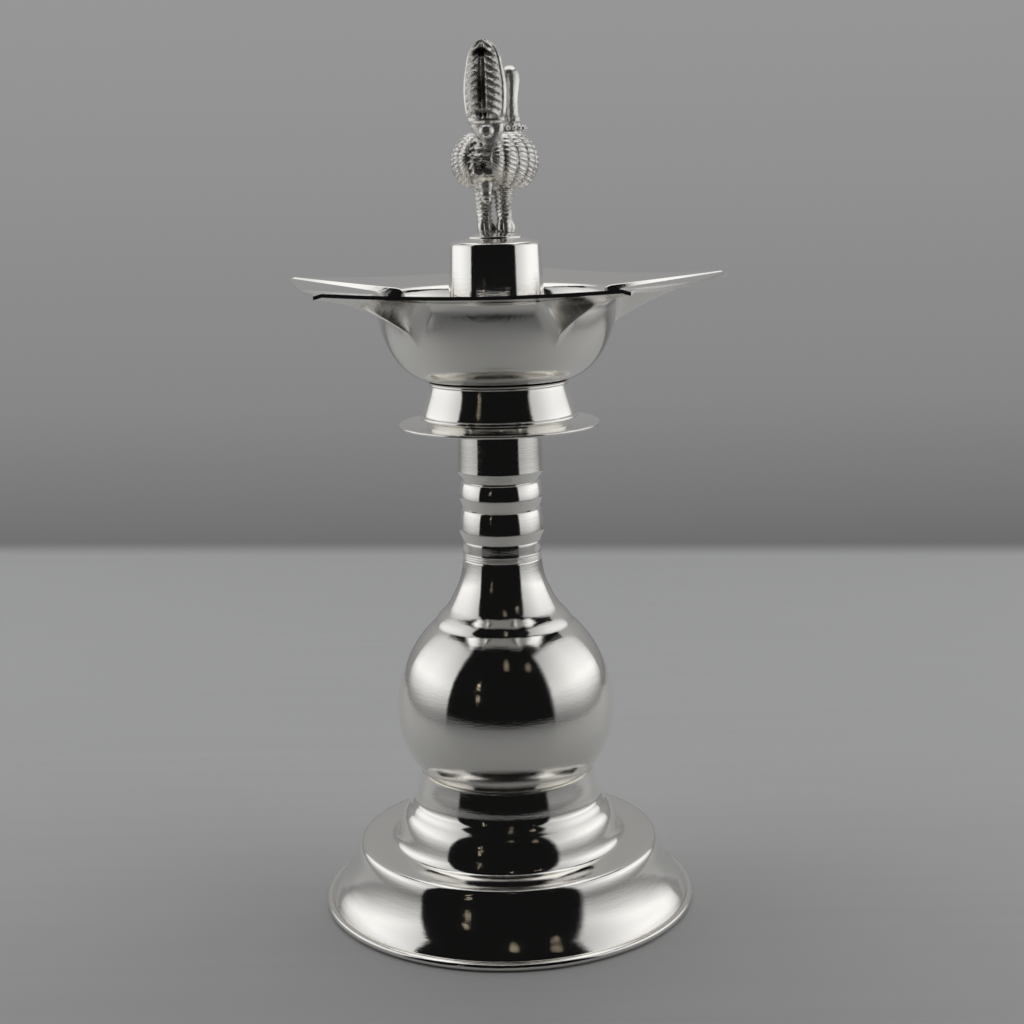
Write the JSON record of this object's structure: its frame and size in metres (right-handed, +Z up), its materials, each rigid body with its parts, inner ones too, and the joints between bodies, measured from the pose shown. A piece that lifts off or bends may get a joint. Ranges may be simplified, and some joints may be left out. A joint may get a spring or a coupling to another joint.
{
  "type": "standing oil lamp",
  "caption": "Tall polished silver oil lamp: flared foot, ball stem, open bowl with wick spouts, drip pan, and a lift-off lid with a standing bird.",
  "frame": {"origin": "middle of the box round the lamp, in the plane that the foot stands on; the stem's axis stands at x -1.93 mm, y -3.47 mm, because the five spouts reach out unevenly", "axes": "+Z up along the stem; the pictured front of the lamp faces -Y; +X is to its viewer's right"},
  "size_m": [0.1056, 0.1042, 0.2035],
  "materials": {
    "silver": "mirror-polished silver plate with fine turning marks",
    "cast_silver": "bright cast silver, slightly softer than the spun pieces",
    "inner_brass": "plain turned brass, hidden inside"
  },
  "bodies": {
    "foot": {"foot_rim_wire": "silver", "foot_shell": "silver", "stepped_collar": "silver", "foot_bush": "inner_brass"},
    "stem": {"stem_stud": "inner_brass", "globe": "silver", "neck_flare": "silver", "neck_core": "inner_brass", "neck_band": "silver", "neck_ring_lower": "silver", "neck_ring_upper": "silver", "neck_sleeve": "silver", "neck_plug": "inner_brass"},
    "head": {"drip_pan": "silver", "skirt": "silver", "bowl_boss": "inner_brass", "bowl": "silver", "lid_post": "silver"},
    "lid": {"lid_cap": "silver", "lid_screw": "inner_brass", "perch": "silver", "bird_leg_left": "cast_silver", "bird_leg_right": "cast_silver", "bird_body": "cast_silver", "bird_wing_left": "cast_silver", "bird_wing_right": "cast_silver", "bird_under_tail": "cast_silver", "bird_tail": "cast_silver", "bird_tail_boss": "cast_silver", "bird_neck": "cast_silver", "bird_beak": "cast_silver", "bird_necklace": "cast_silver"}
  },
  "joints": [
    {"name": "stem_lift", "type": "slide", "parent": "foot", "child": "stem", "axis": [0, 0, 1], "range_m": [0, 0.018]},
    {"name": "head_lift", "type": "slide", "parent": "stem", "child": "head", "axis": [0, 0, 1], "range_m": [0, 0.016]},
    {"name": "lid_lift", "type": "slide", "parent": "head", "child": "lid", "axis": [0, 0, 1], "range_m": [0, 0.035]}
  ]
}
